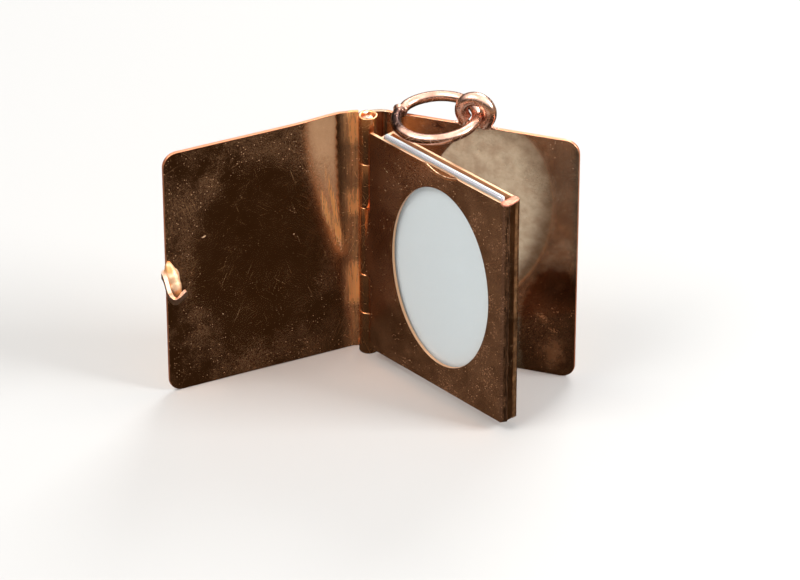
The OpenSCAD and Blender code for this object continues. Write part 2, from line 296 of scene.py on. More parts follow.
def filled(outline, holes, spacing, finer=()):
    """Points and triangles that fill an outline, denser in each finer box (x0, y0, x1, y1, gap)."""
    loops = [split(loop, spacing) for loop in [outline, *holes]]
    low, high = numpy.min(loops[0], axis=0), numpy.max(loops[0], axis=0)
    inner = numpy.empty((0, 2))
    for x0, y0, x1, y1, gap in [(*low, *high, spacing), *finer]:
        rows = numpy.arange(y0 + gap / 2, y1, gap * 0.87)
        lattice = numpy.array([(x + (i % 2) * gap / 2, y) for i, y in enumerate(rows)
                               for x in numpy.arange(x0 + gap / 2, x1, gap)])
        kept = inside(lattice, loops[0]) & (room(lattice, loops[0]) > gap * 0.45)
        for hole in loops[1:]:
            kept &= ~inside(lattice, hole) & (room(lattice, hole) > gap * 0.45)
        within = (inner[:, 0] > x0) & (inner[:, 0] < x1) & (inner[:, 1] > y0) & (inner[:, 1] < y1)
        inner = numpy.vstack([inner[~within], lattice[kept]])
    points, sides = [], []
    for loop in loops:
        first = len(points)
        points += loop
        sides += [(first + i, first + (i + 1) % len(loop)) for i in range(len(loop))]
    points += [Vector(p) for p in inner]
    spots, _, faces, *_ = delaunay_2d_cdt(points, sides, [], 0, 1e-6)
    corners = numpy.array([[spots[i] for i in face] for face in faces])
    one, other = corners[:, 1] - corners[:, 0], corners[:, 2] - corners[:, 0]
    middles = corners.mean(1)
    area = abs(one[:, 0] * other[:, 1] - one[:, 1] * other[:, 0])
    kept = inside(middles, loops[0]) & (area > 1e-4)
    for hole in loops[1:]:
        kept &= ~inside(middles, hole)
    return spots, [face for face, keep in zip(faces, kept) if keep]


# %% [markdown]
# ## Bending it
# A bend is a walk seen from above: straight on, then round a curve, then straight on again. One
# function walks any distance along such a path, and the covers, the folded page and the catch
# all use it. Hand-worked sheet is never quite flat, so a slow ripple of a few hundredths of a
# millimetre goes on top, and polished faces show it in their reflections.

# %% Paths and ripples
def clamped(value):
    """The nearest value from 0 to 1."""
    return min(1, max(0, value))


def eased(share):
    """A share from 0 to 1 that starts and ends softly."""
    return share * share * (3 - 2 * share)


def walk(start, heading, moves, distance):
    """Point and heading after a distance along moves of (length, turn in degrees)."""
    x, y = start
    heading = math.radians(heading)
    for length, turn in [*moves, (math.inf, 0)]:
        step = min(distance, length)
        bend = math.radians(turn) * step / length if turn else 0
        if bend:
            radius = step / bend
            x += radius * (math.sin(heading + bend) - math.sin(heading))
            y -= radius * (math.cos(heading + bend) - math.cos(heading))
        else:
            x += step * math.cos(heading)
            y += step * math.sin(heading)
        heading += bend
        distance -= step
        if distance <= 0:
            break
    return x, y, heading


def ripple(x, z, seed, length=7.0, height=0.03):
    """Slow unevenness of hand-worked sheet, in mm."""
    return height * noise.noise(Vector((x / length, z / length, seed)))


# %% [markdown]
# ## Making a piece
# Each piece is modelled in its leaf's own frame, in millimetres, and then set in place and tied to
# the body that it moves with. The same helper hides the node of the measured model that the piece
# stands for.

# %% Pieces
def make(name, points, faces, body, finish, slot, stands_for=(), place=None):
    """A mesh piece in mm in its leaf's frame, which rides on the body."""
    mesh = bpy.data.meshes.new(name)
    mesh.from_pydata([tuple(c * MM for c in p) for p in points], [], faces)
    mesh.shade_smooth()
    mesh.materials.append(finish)
    made = bpy.data.objects.new(name, mesh)
    bpy.context.scene.collection.objects.link(made)
    made.matrix_world = place or LEAF[body]
    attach(made, body)
    if stands_for:
        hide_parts(*stands_for)
    print(f"{name}: {len(faces)} faces, rides on {body}")
    return made


def thicken(piece, thickness, edge):
    """Gives a sheet its thickness and soft edges, in mm."""
    solid = piece.modifiers.new("thickness", "SOLIDIFY")
    solid.thickness, solid.offset = thickness * MM, 0
    soften(piece, edge)


def soften(piece, edge):
    """Rounds the sharp edges of a piece by a width in mm."""
    bevel = piece.modifiers.new("worn edges", "BEVEL")
    bevel.width, bevel.segments = edge * MM, 3
    bevel.limit_method, bevel.angle_limit = "ANGLE", math.radians(50)
    bevel.harden_normals = True


def bands(rows, sides, closed=False):
    """Faces between neighbouring rows of points, and from the last to the first if closed."""
    pairs = [(j * sides, (j + 1) % rows * sides) for j in range(rows if closed else rows - 1)]
    return [(a + i, a + (i + 1) % sides, b + (i + 1) % sides, b + i)
            for a, b in pairs for i in range(sides)]


def turned(profile, sides=56):
    """Points and faces of a profile (radius, height) turned round the upright axis."""
    turns = [2 * math.pi * i / sides for i in range(sides)]
    points = [(r * math.cos(t), r * math.sin(t), z) for r, z in profile for t in turns]
    return points, bands(len(profile), sides, closed=True)


def swept(centres, sides_of, radii, sides=20):
    """Points and faces of a wire along its centres. sides_of gives two unit vectors across it."""
    points, faces = [], bands(len(centres), sides)
    for i, centre in enumerate(centres):
        across, over = sides_of(i)
        points += [centre + (across * math.cos(t) + over * math.sin(t)) * radii[i]
                   for t in (2 * math.pi * k / sides for k in range(sides))]
    faces.append(tuple(reversed(range(sides))))
    faces.append(tuple(range(len(points) - sides, len(points))))
    return points, faces


def melted(parts, grain, rounds):
    """One smooth skin over overlapping parts, as solder flows. Sizes in mm."""
    scale = 100
    points, faces = [], []
    for part_points, part_faces in parts:
        faces += [tuple(i + len(points) for i in face) for face in part_faces]
        points += [Vector(p) * MM * scale for p in part_points]
    mesh = bpy.data.meshes.new("solder")
    mesh.from_pydata(points, [], faces)
    lump = bpy.data.objects.new("solder", mesh)
    bpy.context.scene.collection.objects.link(lump)
    skin = lump.modifiers.new("skin", "REMESH")
    skin.mode, skin.voxel_size = "VOXEL", grain * MM * scale
    flow = lump.modifiers.new("flow", "SMOOTH")
    flow.factor, flow.iterations = 0.5, rounds
    result = lump.evaluated_get(bpy.context.evaluated_depsgraph_get()).to_mesh()
    points = [v.co / MM / scale for v in result.vertices]
    faces = [tuple(p.vertices) for p in result.polygons]
    bpy.data.objects.remove(lump)
    return points, faces


def ball(centre, radii, rings=10, sides=16):
    """Points and faces of an egg with three radii, for solder to be melted from."""
    centre = Vector(centre)
    points = [centre + Vector((0, 0, radii[2])), centre - Vector((0, 0, radii[2]))]
    for i in range(1, rings):
        tilt = math.pi * i / rings
        for k in range(sides):
            t = 2 * math.pi * k / sides
            points.append(centre + Vector((radii[0] * math.sin(tilt) * math.cos(t),
                                           radii[1] * math.sin(tilt) * math.sin(t),
                                           radii[2] * math.cos(tilt))))
    faces = [(0, 2 + k, 2 + (k + 1) % sides) for k in range(sides)]
    last = 2 + (rings - 2) * sides
    faces += [(1, last + (k + 1) % sides, last + k) for k in range(sides)]
    for i in range(rings - 2):
        a, b = 2 + i * sides, 2 + (i + 1) * sides
        faces += [(a + k, b + k, b + (k + 1) % sides, a + (k + 1) % sides) for k in range(sides)]
    return points, faces


# %% [markdown]
# ## Rose gold
# Nine carat rose gold is more than half copper and silver. Rolled into sheet, soldered and
# polished, it mirrors its surroundings with a peach tint. A hundred years of wear adds very fine
# scratches in every direction, a brown film where fingers never reach, specks of dust, and edges
# that are rubbed brighter than the faces. All of it comes from one function, because it is one
# metal, and its arguments say how much of each the surface has. The same function also paints
# light: a bright band and streaks of painted reflection along the bend, a painted highlight and a
# painted dark reflection where the page folds round, and a painted dark reflection on the ring. The
# plainest marks are set one by one, as short lists of spots in the sheet: pale flecks and smears,
# dark pits, stains, and patches of painted reflection. The masks read the leaf's own frame in
# millimetres, so every scale below is a real size.

# %% The metal
def worn_gold(name, metal="#ecb185", film="#9a6238", film_share=0.3, film_scale=0.22, rough=0.09,
              haze="#b3906c", haze_share=0.5, veil=0.0, grain_share=0.9, specks=0.4, scratches=0.5,
              dents=1.0, rim="#e9a27c", rim_from=None, plate_to=None, fold_from=None, ghost=None,
              outside=False, bend_sheen=(), sheen_streaks=(), flecks=(), smears=(), pits=(), stains_and_reflections=(),
              dark_reflection=None):
    """Polished rose gold with a brown film, haze, scratches, specks and bright rims, and the
    painted highlights and reflections that its arguments ask for.
    """
    made, tree, shader = new_material(name)
    fade = partial(ramp, tree)

    def node(kind, options=None, inputs=None, out=0):
        """Adds a node and gives one of its outputs."""
        return add(tree, kind, options, inputs).outputs[out]

    place = node("ShaderNodeVectorMath", {"operation": "SCALE"},
                 {0: node("ShaderNodeTexCoord", out="Object"), "Scale": 1 / MM})
    sides = add(tree, "ShaderNodeSeparateXYZ", inputs={0: place}).outputs
    facing = add(tree, "ShaderNodeSeparateXYZ",
                 inputs={0: node("ShaderNodeTexCoord", out="Normal")}).outputs

    def cloud(scale, detail=4.0, roughness=0.55, low=0.35, high=0.65, where=place):
        """Soft noise in blots of 1 / scale mm, stretched to the full range."""
        blots = node("ShaderNodeTexNoise", {"noise_dimensions": "3D"}, {
            "Vector": where, "Scale": scale, "Detail": detail, "Roughness": roughness})
        return fade(blots, low, high)

    def plain(operation, a, b=0.0):
        """The plain sum of two values, without limits."""
        return node("ShaderNodeMath", {"operation": operation}, {0: a, 1: b})

    def vector(operation, a, b=(0, 0, 0), out=0):
        """The sum of two vectors."""
        return node("ShaderNodeVectorMath", {"operation": operation}, {0: a, 1: b}, out)

    def join(operation, first, *others):
        """Joins values by a sum whose result stays between 0 and 1."""
        for other in others:
            first = node("ShaderNodeMath", {"operation": operation, "use_clamp": True},
                         {0: first, 1: other})
        return first

    times, plus = partial(join, "MULTIPLY"), partial(join, "ADD")
    most, less = partial(join, "MAXIMUM"), partial(join, "SUBTRACT")

    def mix(share, a, b):
        """Blends two colours."""
        return node("ShaderNodeMix", {"data_type": "RGBA"}, {0: share, 6: a, 7: b}, 2)

    def stretched(scale, at=(0, 0, 0), turn=0.0):
        """The place as seen from a point, turned in the sheet and measured in units of scale mm."""
        return node("ShaderNodeMapping", {"vector_type": "TEXTURE"}, {
            "Vector": place, "Location": at, "Scale": scale,
            "Rotation": (0, math.radians(turn), 0)})

    def patches(marks_at, rag, soft=0.4):
        """Ragged spots of (x, z, length, width, turn, strength), in mm and degrees."""
        found = 0.0
        for x, z, length, wide, turn, strength in marks_at:
            spot = stretched((length, 1e4, wide), (x, 0, z), turn)
            far = vector("LENGTH", spot, out="Value")
            patch = fade(plain("ADD", far, rag), 0.9 + soft / 2, 0.9 - soft / 2, 0.0, strength)
            found = most(found, patch)
        return less(found, outer) if outside else found

    # An outer face looks away from the middle of its leaf.
    outer = plain("GREATER_THAN", plain("MULTIPLY", sides["Y"], facing["Y"]), 0.0)

    # Scratches are threads of noise, a few millimetres long and some hundredths wide.
    marks = 0.0
    for turn, length, seed in ((24, 4.5, 1), (-38, 3.2, 7), (66, 3.6, 13), (-71, 2.8, 23)):
        threads = stretched((length, 1, 0.06), (seed, seed, seed), turn)
        marks = most(marks, cloud(1.0, 0.0, 0.0, 0.75, 0.82, threads))
    marks = times(marks, cloud(0.35, 2, 0.5, 0.3, 0.6), scratches)

    # Dust lies in a share of the cells of three loose nets, from fine to coarse.
    around = plain("ADD", sides["X"], sides["Y"])
    unrolled = node("ShaderNodeCombineXYZ", inputs={0: around, 1: sides["Z"]})
    nets = (0.2, specks, 0.25), (0.7, specks * 0.4, 0.08), (2.6, specks * 0.5, 0.035)
    dust = 0.0
    for cell, share, largest in nets:
        net = add(tree, "ShaderNodeTexVoronoi", {"feature": "F1", "voronoi_dimensions": "2D"},
                  {"Vector": unrolled, "Scale": 1 / cell, "Randomness": 1.0}).outputs
        chance = add(tree, "ShaderNodeSeparateColor", inputs={0: net["Color"]}).outputs
        size = fade(chance["Red"], 1 - share, 1.0, 0.0, largest)
        grains = fade(less(size, net["Distance"]), 0.0, largest / 2)
        dust = most(dust, times(grains, fade(chance["Green"], 0.3, 1.0, 0.06, 0.72)))
    dust = times(dust, fade(cloud(0.45, 3, 0.6, 0.36, 0.58), 0.0, 1.0, 0.45, 1.0))

    # Haze is a thin veil of old polish and grease, in clouds that are made of very fine grains.
    clouds = times(cloud(0.3, 5, 0.7, 0.38, 0.62), fade(sides["Z"], 0.0, 22.0, 0.95, 0.75),
                   fade(sides["X"], 1.5, 5.5, 0.3, 1.0))
    if ghost:
        # Where the page's window lies against the cover, the metal has kept its polish.
        middle_of_it, over_radii = ghost
        from_middle = vector("MULTIPLY", vector("SUBTRACT", place, middle_of_it), over_radii)
        out = vector("LENGTH", from_middle, out="Value")
        beside = most(fade(out, 0.86, 1.12, 0.1, 1.0), outer)
        dust = times(dust, fade(beside, 0.0, 1.0, 0.45, 1.0))
        clouds = times(clouds, beside, fade(out, 1.7, 1.25, 0.5, 1.0))
    grainy = plus(times(cloud(5.0, 5, 0.85, 0.42, 0.68), grain_share), 0.12)
    cover_up = plus(times(clouds, grainy, haze_share),
                    times(fade(sides["X"], 1.0, 17.0, 0.25, 1.0), veil))
    if outside:
        # No picture shows the outer faces, so they get a plainer satin finish with little wear.
        wear = fade(outer, 0.0, 1.0, 1.0, 0.35)
        cover_up, dust, marks = times(cover_up, wear), times(dust, wear), times(marks, wear)
    cover_up = most(cover_up, times(marks, 0.7))
    if flecks:
        dust = most(dust, patches(flecks, cloud(6.0, 2, 0.6, 0.3, 0.7)))
    if smears:
        dust = most(dust, patches(smears, times(cloud(1.6, 5, 0.7), 0.45), 1.0))

    # Film, haze and dust lie over each other, and each is less metallic and more matt.
    brown = times(cloud(film_scale, 5, 0.6, 0.25, 0.7), film_share)
    colour = mix(brown, linear(metal), linear(film))
    mottled = mix(times(cloud(0.8, 5, 0.75, 0.42, 0.66), 0.45), linear(haze), linear(film))
    colour = mix(cover_up, colour, mottled)
    colour = mix(dust, colour, linear("#ebbb90"))
    metallic = less(1.0, times(cover_up, 0.55), times(dust, 0.9))
    glossy = plus(times(cover_up, 0.35), rough, times(dust, 0.4))
    if outside:
        colour = mix(times(outer, 0.55), colour, linear("#ffc890"))
        metallic = less(metallic, times(outer, 0.14))
        glossy = plus(glossy, times(outer, 0.12))
    if bend_sheen:
        # Painted highlight: a bright orange band along the bend, strongest in the given height
        # spans, stands in for the light reflected there; it is also made less metallic and rougher.
        worn = 0.0
        for low, high, strength in bend_sheen:
            span = times(fade(sides["Z"], low - 1.1, low + 1.1),
                         fade(sides["Z"], high + 1.1, high - 1.1, 0.0, strength))
            worn = most(worn, span)
        drawn = cloud(1.0, 4, 0.65, 0.35, 0.65, stretched((0.22, 0.22, 2.2)))
        worn = times(worn, fade(sides["X"], 2.3, 0.85), fade(drawn, 0.0, 1.0, 0.6, 1.0))
        worn = less(worn, outer)
        # Streaks of painted reflection along the bend, set one by one.
        if sheen_streaks:
            threads = times(cloud(1.0, 3, 0.6, where=stretched((0.1, 0.1, 1.6))), 0.6)
            worn = most(worn, patches(sheen_streaks, threads, 0.9))
        colour = mix(worn, colour, linear("#ffb066"))
        metallic = less(metallic, times(worn, 0.75))
        glossy = plus(glossy, times(worn, 0.3))
    # Stains, and patches of painted reflection, each a flat colour over a ragged patch.
    for *where, tone, soft in stains_and_reflections:
        rag = times(cloud(1.5, 3, 0.6), 0.05)
        colour = mix(patches([where], rag, soft), colour, linear(tone))
    if dark_reflection:
        # Painted dark reflection: a mottled dark patch within a reach of one point of the ring.
        at, reach = dark_reflection
        away = vector("DISTANCE", place, at, "Value")
        painted_dark_reflection = times(fade(away, reach, reach * 0.55), cloud(3.0, 4, 0.75, 0.26, 0.44))
        colour = mix(painted_dark_reflection, colour, linear("#34190f"))
    if pits:
        colour = mix(patches(pits, cloud(6.0, 2, 0.6, 0.3, 0.7)), colour, linear("#1f130b"))
    if fold_from is not None:
        # Where the plate folds round, light is painted by which way each face looks: a pale painted
        # highlight along the rounded corner, and a painted dark reflection on the narrow side,
        # broken up by streaks.
        folded = plain("GREATER_THAN", sides["X"], fold_from)
        fold_highlight = times(fade(facing["X"], 0.1, 0.35), fade(facing["X"], 0.8, 0.55), folded)
        colour = mix(times(fold_highlight, 0.55), colour, linear("#d8a184"))
        streaks = cloud(1.0, 4, 0.7, 0.35, 0.65, stretched((0.12, 0.12, 0.9)))
        fold_dark_reflection = times(fade(facing["X"], 0.6, 0.85), folded, fade(streaks, 0, 1, 0.95, 0.35))
        colour = mix(fold_dark_reflection, colour, linear("#4a2c1a"))
    if rim_from is not None:
        edge = times(fade(plain("ABSOLUTE", facing["Y"]), 0.95, 0.7),
                     plain("GREATER_THAN", sides["X"], rim_from))
        if plate_to is not None:
            top = fade(plain("ABSOLUTE", facing["Z"]), 0.35, 0.6)
            edge = times(edge, most(top, fade(sides["X"], plate_to, plate_to - 0.2)))
        colour = mix(edge, colour, linear(rim))
        metallic = less(metallic, times(edge, 0.25))
        glossy = node("ShaderNodeMix", {"data_type": "FLOAT"}, {0: edge, 2: glossy, 3: 0.32})
    relief = plus(times(cloud(1.3, 3, 0.5, 0.0, 1.0), 0.35), times(marks, 0.3))
    if outside:
        brushed = cloud(1.0, 3, 0.6, 0.2, 0.8, stretched((5.0, 5.0, 0.05)))
        relief = plus(times(relief, less(1.0, outer)), times(brushed, outer, 0.6))
    normal = node("ShaderNodeBump", inputs={
        "Height": relief, "Strength": 0.35, "Distance": 0.006 * dents * MM})
    for socket, value in (("Base Color", colour), ("Roughness", glossy), ("Metallic", metallic),
                          ("Normal", normal)):
        tree.links.new(value, shader.inputs[socket])
    return made


# %% Finishes of the same gold
closed_window = (9.6, 0, 12.0), (1 / 6.2, 0, 1 / 9.0)
cover_wear = {"rim": "#e0906a", "rim_from": 1.3, "ghost": closed_window, "outside": True}
front_gold = worn_gold(
    "rolled rose gold sheet", film_share=0.2, haze="#c08f5c", haze_share=0.52, specks=0.55,
    scratches=0.7, **cover_wear,
    # Painted highlight: the bend band in these height spans, and the streaks of reflected light
    # below.
    bend_sheen=((-1, 25, 0.42), (4.2, 8.8, 1.0), (13.2, 16.2, 0.95), (20.3, 25, 1.0)),
    flecks=((14.75, 14.83, 0.4, 0.12, 20, 1.0), (6.5, 12.88, 0.09, 0.09, 0, 1.0),
            (13.2, 6.6, 0.16, 0.04, -35, 0.8), (17.6, 9.4, 0.1, 0.12, 0, 0.5),
            # The last fleck, a long thin line below the streaks, is a painted highlight.
            (2.2, 10.9, 1.4, 0.2, -78, 0.6)),
    # Painted highlight: streaks of reflected light along the bend.
    sheen_streaks=((3.4, 14.3, 3.2, 0.4, -76, 0.9), (2.75, 14.9, 4.4, 0.32, -80, 0.95),
          (2.4, 12.0, 2.2, 0.5, -78, 1.0)))
back_gold = worn_gold(
    "rolled rose gold sheet, milky haze", metal="#f2d6b8", film="#935f3c", film_share=0.45,
    film_scale=0.9, rough=0.06, haze="#aaa78f", haze_share=0.5, veil=0.1, specks=0.3, **cover_wear,
    # The two patches here are painted reflection: the brown lower part and the dark blob, where the
    # back cover mirrors the page.
    stains_and_reflections=((16.5, 3.7, 3.6, 8.05, 0, 0.85, "#9c6034", 0.1),
            (17.0, 8.9, 2.6, 2.4, 0, 0.8, "#3a1e0c", 1.2)),
    flecks=((16.2, 6.75, 0.2, 0.05, 35, 0.8), (16.7, 6.45, 0.22, 0.07, 20, 0.6),
            (18.1, 6.9, 0.14, 0.08, 0, 0.9), (17.9, 6.3, 0.12, 0.1, 0, 0.7),
            (15.35, 5.75, 0.75, 0.35, 35, 0.5), (16.4, 4.5, 0.7, 0.3, 15, 0.45)),
    smears=((16.3, 2.2, 1.3, 1.9, 5, 0.3), (15.4, 5.6, 0.8, 0.5, 30, 0.2),
            (16.8, 9.0, 1.0, 0.35, -55, 0.14)),
    pits=((5.95, 23.0, 0.65, 0.42, 0, 0.8), (6.25, 22.9, 0.25, 0.2, 0, 0.8)))
page_gold = worn_gold(
    "rose gold page plate", metal="#f6b484", film_share=0.42, rough=0.12, haze="#c8987a",
    haze_share=0.5, veil=0.15, specks=0.32, rim="#f4c096", rim_from=1.2, plate_to=16.0,
    # From here on the fold gets its painted highlight and painted dark reflection.
    fold_from=16.3,
    flecks=((3.12, 19.81, 0.3, 0.045, 30, 1.0), (2.99, 17.83, 0.16, 0.13, 0, 0.3),
            (14.6, 3.1, 0.08, 0.06, 0, 0.8)))
seam_gold = worn_gold(
    "oxidised solder seam", metal="#a8734a", film="#5a3a22", film_share=0.8, rough=0.3,
    haze_share=0.2, specks=0.9)
flange_gold = worn_gold(
    "rubbed rose gold edge", metal="#f4b27c", film="#5c3820", film_share=0.85, film_scale=1.4,
    rough=0.25, haze="#d8a070", haze_share=0.65, veil=0.15, specks=0.9)
tube_gold = worn_gold(
    "rolled rose gold tube", metal="#f2b07c", film_share=0.35, rough=0.22, haze="#c8956a",
    haze_share=0.4, veil=0.22, specks=0.2, flecks=((-0.19, 21.85, 0.08, 0.08, 0, 1.0),))
wire_gold = worn_gold(
    "drawn rose gold wire", metal="#fbcbb4", film="#8a4e30", film_share=0.5, film_scale=0.9,
    rough=0.25, haze="#e0b49a", haze_share=0.2, specks=0.12, scratches=0.8, dents=4,
    # The dark patch on the ring's left side is painted dark reflection.
    dark_reflection=((0.9, 3.6, 24.5), 2.2))
catch_gold = worn_gold(
    "filed rose gold strip", metal="#fbd0b8", film="#d89a78", film_share=0.2, rough=0.34,
    haze_share=0.2, specks=0.1)
end_gold = worn_gold(
    "rubbed rose gold solder", metal="#e48c72", film="#c07050", film_share=0.3, rough=0.34,
    haze="#eaa890", haze_share=0.6, veil=0.5, specks=0.1)
solder_gold = worn_gold(
    "yellow gold solder", metal="#ffe8cc", film="#dc8848", film_share=0.75, film_scale=1.3,
    rough=0.36, haze="#ffe2b6", haze_share=0.5, veil=0.45, grain_share=0.4, specks=0.1, dents=5,
    stains_and_reflections=((17.9, 10.95, 0.5, 0.32, 20, 0.85, "#dc8c48", 0.9),
            (18.3, 12.75, 0.4, 0.3, 0, 0.8, "#d9924e", 0.9)))

# %% [markdown]
# ## The covers
# A cover is one sheet, 0.33 mm thick. It runs straight from the fore edge, bends in by a quarter
# of a right angle just before the hinge and curls onto its own knuckles. Where another leaf has
# its knuckle, the sheet is cut back. The front cover is the same sheet mirrored.

# %% Sizes of the covers and the hinge
width, height = cover_w / MM, cover_h / MM
sheet, page_t, cover_gap = 0.33, 1.7, 0.17
cover_edge, plate_edge, wall_edge = 0.09, 0.06, 0.03
cover_middle = page_t / 2 + cover_gap + sheet / 2
corner = 1.25
bend_start, bend_radius, bend_angle = 1.1, 0.8, 25
neck, curl, curl_turn = 0.9, 0.65, 60
cut_back = 0.38
dent_height, dent_low, dent_reach = 0.2, 8, 14
dent_rise, dent_end, dent_fall = 0.9, 6.5, 4.3
tube_radius, bore_radius, tube_round = 0.83, 0.56, 0.06
knuckle_gap = 0.06
knuckles = [("back_leaf", 4.15), ("front_leaf", 3.85), ("page_leaf", 6.65), ("front_leaf", 4.25)]

runs, low = {"back_leaf": [], "front_leaf": [], "page_leaf": []}, 0
for body, length in knuckles:
    runs[body].append((low, low + length))
    low += length + knuckle_gap
runs["back_leaf"].append((low, height))
bend_length = bend_radius * math.radians(bend_angle)
cover_moves = [(width - bend_start, 0), (bend_length, bend_angle), (neck, 0), (curl, curl_turn)]
to_tube = sum(length for length, _ in cover_moves)
to_room = width - bend_start + bend_length + cut_back


# %% Cut and bend both covers
def comb(own):
    """Corners of a cover's outline: x is the way from the fore edge, y the height."""
    corners = [(0, 0, corner), (0, height, corner)]
    level_now = height
    for low, high in sorted(own, reverse=True):
        if high < level_now:
            corners += [(to_room, level_now, 0), (to_room, high, 0)]
        corners += [(to_tube, high, 0), (to_tube, low, 0)]
        level_now = low
    if level_now > 0:
        corners += [(to_room, level_now, 0), (to_room, 0, 0)]
    return corners


def swell(x):
    """Share of the dent just before the bend, where the sheet was pushed out against the hinge."""
    return (eased(clamped((x - bend_start) / dent_rise))
            * eased(clamped((dent_end - x) / dent_fall)))


def cover(name, body, side, seed, bow, finish, stands_for):
    """One cover, on the +y or -y side of its leaf."""
    bend_zone = (to_room - 0.9, -1, to_tube + 1, height + 1, 0.16)
    spots, faces = filled(rounded(comb(runs[body])), [], 0.55, [bend_zone])
    points = []
    for way, z in spots:
        x, y, _ = walk((width, cover_middle), 180, cover_moves, way)
        calm = clamped((x - bend_start) / 2)
        y += ripple(x, z, seed) * calm + bow * clamped((z - dent_low) / dent_reach) * swell(x)
        points.append((x, y * side, z))
    thicken(make(name, points, faces, body, finish, "cover_gold", stands_for), sheet, cover_edge)


cover("back_cover_sheet", "back_leaf", 1, 3.1, 0, back_gold, ["back_cover"])
cover("front_cover_sheet", "front_leaf", -1, 8.7, dent_height, front_gold, ["front_cover"])

# %% [markdown]
# ## The hinge
# Five short tubes share one pin. Their ends are a little rounded from wear, which is what draws
# the fine bright lines between them. The pin's ends are hammered into low domes.

# %% Turn the knuckles and the pin
def knuckle(name, body, low, high, slot):
    """A short tube with rounded ends."""
    r, worn = tube_round, tube_round * 0.3
    profile = [(bore_radius, low + r), (bore_radius + r, low), (tube_radius - r, low),
               (tube_radius - worn, low + worn), (tube_radius, low + r), (tube_radius, high - r),
               (tube_radius - worn, high - worn), (tube_radius - r, high),
               (bore_radius + r, high), (bore_radius, high - r)]
    make(name, *turned(profile), body, tube_gold, slot)


for body, spans in runs.items():
    for number, (low, high) in enumerate(spans):
        knuckle(f"{body}_knuckle_{number}", body, low, high,
                "page_gold" if body == "page_leaf" else "cover_gold")
pin_radius, pin_recess, dome = 0.5, 0.16, 0.14
dome_turns = [math.pi / 2 * k / 6 for k in range(7)]
pin_top = [(max(0.001, pin_radius * math.cos(t)), height - pin_recess - dome + dome * math.sin(t))
           for t in dome_turns]
pin_foot = [(r, height - z) for r, z in reversed(pin_top)]
make("hinge_pin_rod", *turned(pin_foot + pin_top), "back_leaf", wire_gold, "pin_gold",
     ["hinge_pin"])

# %% [markdown]
# ## The eye and the jump ring
# The eye is a loop of wire soldered to the cover's top edge, with a little solder drawn up on each
# side. Melting overlapping shapes into one skin gives the soft foot that solder leaves. The jump
# ring is wire too, wound round a rod and sawn through. Its seam never closes quite true, and the
# saw has left a small lip on one end.

# %% Bend the eye
eye_x, eye_rise, eye_radius, eye_wire = 9.15, 1.27, 1.23, 0.6
eye_from, eye_through, eye_steps = -52, 284, 60
eye_middle = Vector((eye_x, cover_middle, height + eye_rise))
eye_turns = [math.radians(eye_from + eye_through * i / eye_steps) for i in range(eye_steps + 1)]
centres = [eye_middle + Vector((math.cos(t), 0, math.sin(t))) * eye_radius for t in eye_turns]
loop = swept(centres, lambda i: (Vector((math.cos(eye_turns[i]), 0, math.sin(eye_turns[i]))),
                                 Vector((0, 1, 0))), [eye_wire] * len(centres))
solder_grain = 0.045
feet = [ball((eye_x + side * reach, cover_middle, height + rise), (size, size * 0.9, size))
        for side in (-1, 1) for reach, rise, size in (
            (0.75, 0.0, 0.36), (1.05, -0.02, 0.28), (1.35, -0.05, 0.23),
            (1.65, -0.08, 0.2), (1.95, -0.1, 0.18))]
feet.append(ball((eye_x, cover_middle, height + 0.02), (0.9, 0.3, 0.3)))
make("eye_loop", *melted([loop, *feet], solder_grain, 5), "back_leaf", wire_gold, "cover_gold")

# %% Wind the jump ring
ring_radius, ring_wire = 3.42, 0.46
ring_yaw, ring_droop, ring_lean = 19.9, 4.8, 1.8
seam_at, seam_gap = 150, 1.5
sprung_arc, sprung_in, sprung_down, sprung_thin = 16, 0.17, 0.06, 0.05
uneven_way, uneven_wire = 0.012, 0.008
ring_joint = joints["ring_swing"]
ring_place = (Matrix.Translation(Vector(ring_joint["pos_m"]))
              @ Matrix.Rotation(math.radians(ring_yaw), 4, "Z")
              @ Matrix.Rotation(math.radians(-ring_droop), 4, "Y")
              @ Matrix.Rotation(math.radians(ring_lean), 4, "X"))
ring_steps = 176
lip = ((0, -0.1), (0.25, 0.05), (0.8, 0.15), (1.6, 0.19), (2.5, 0.16), (3.5, 0.08), (4.5, 0.01))
ring_turns = [seam_at + turn for turn, _ in lip]
first, last = ring_turns[-1] + 0.8, seam_at + 360 - seam_gap
ring_turns += [first + (last - first) * i / ring_steps for i in range(ring_steps + 1)]
centres, outward, radii = [], [], []
for i, turn in enumerate(ring_turns):
    angle = math.radians(turn)
    out = Vector((math.cos(angle), math.sin(angle), 0))
    uneven = uneven_way * noise.noise(Vector((angle * 2.2, 0, 5.0)))
    sprung = max(0, 1 - (last - turn) / sprung_arc) ** 2
    centres.append(Vector((-ring_radius, 0, 0)) + out * (ring_radius + uneven - sprung_in * sprung)
                   - Vector((0, 0, sprung_down * sprung)))
    outward.append(out)
    burr = lip[i][1] if i < len(lip) else 0
    radii.append(ring_wire + uneven_wire * noise.noise(Vector((angle * 5, 2.0, 0))) + burr
                 - sprung_thin * sprung)
points, faces = swept(centres, lambda i: (outward[i], Vector((0, 0, 1))), radii, 24)
points = [ring_place @ (Vector(p) * MM) / MM for p in points]
make("jump_ring_wire", points, faces, "ring", wire_gold, "ring_gold", ["jump_ring"],
     Matrix.Identity(4))

# %% [markdown]
# ## The page
# The page is a flat box, open at the top. Its front plate folds round the fore edge and meets the
# back plate there in a fine seam. Both plates have the same oval window. A tongue joins the plate
# to its knuckle and dips beside it, so that the front cover can shut over it.

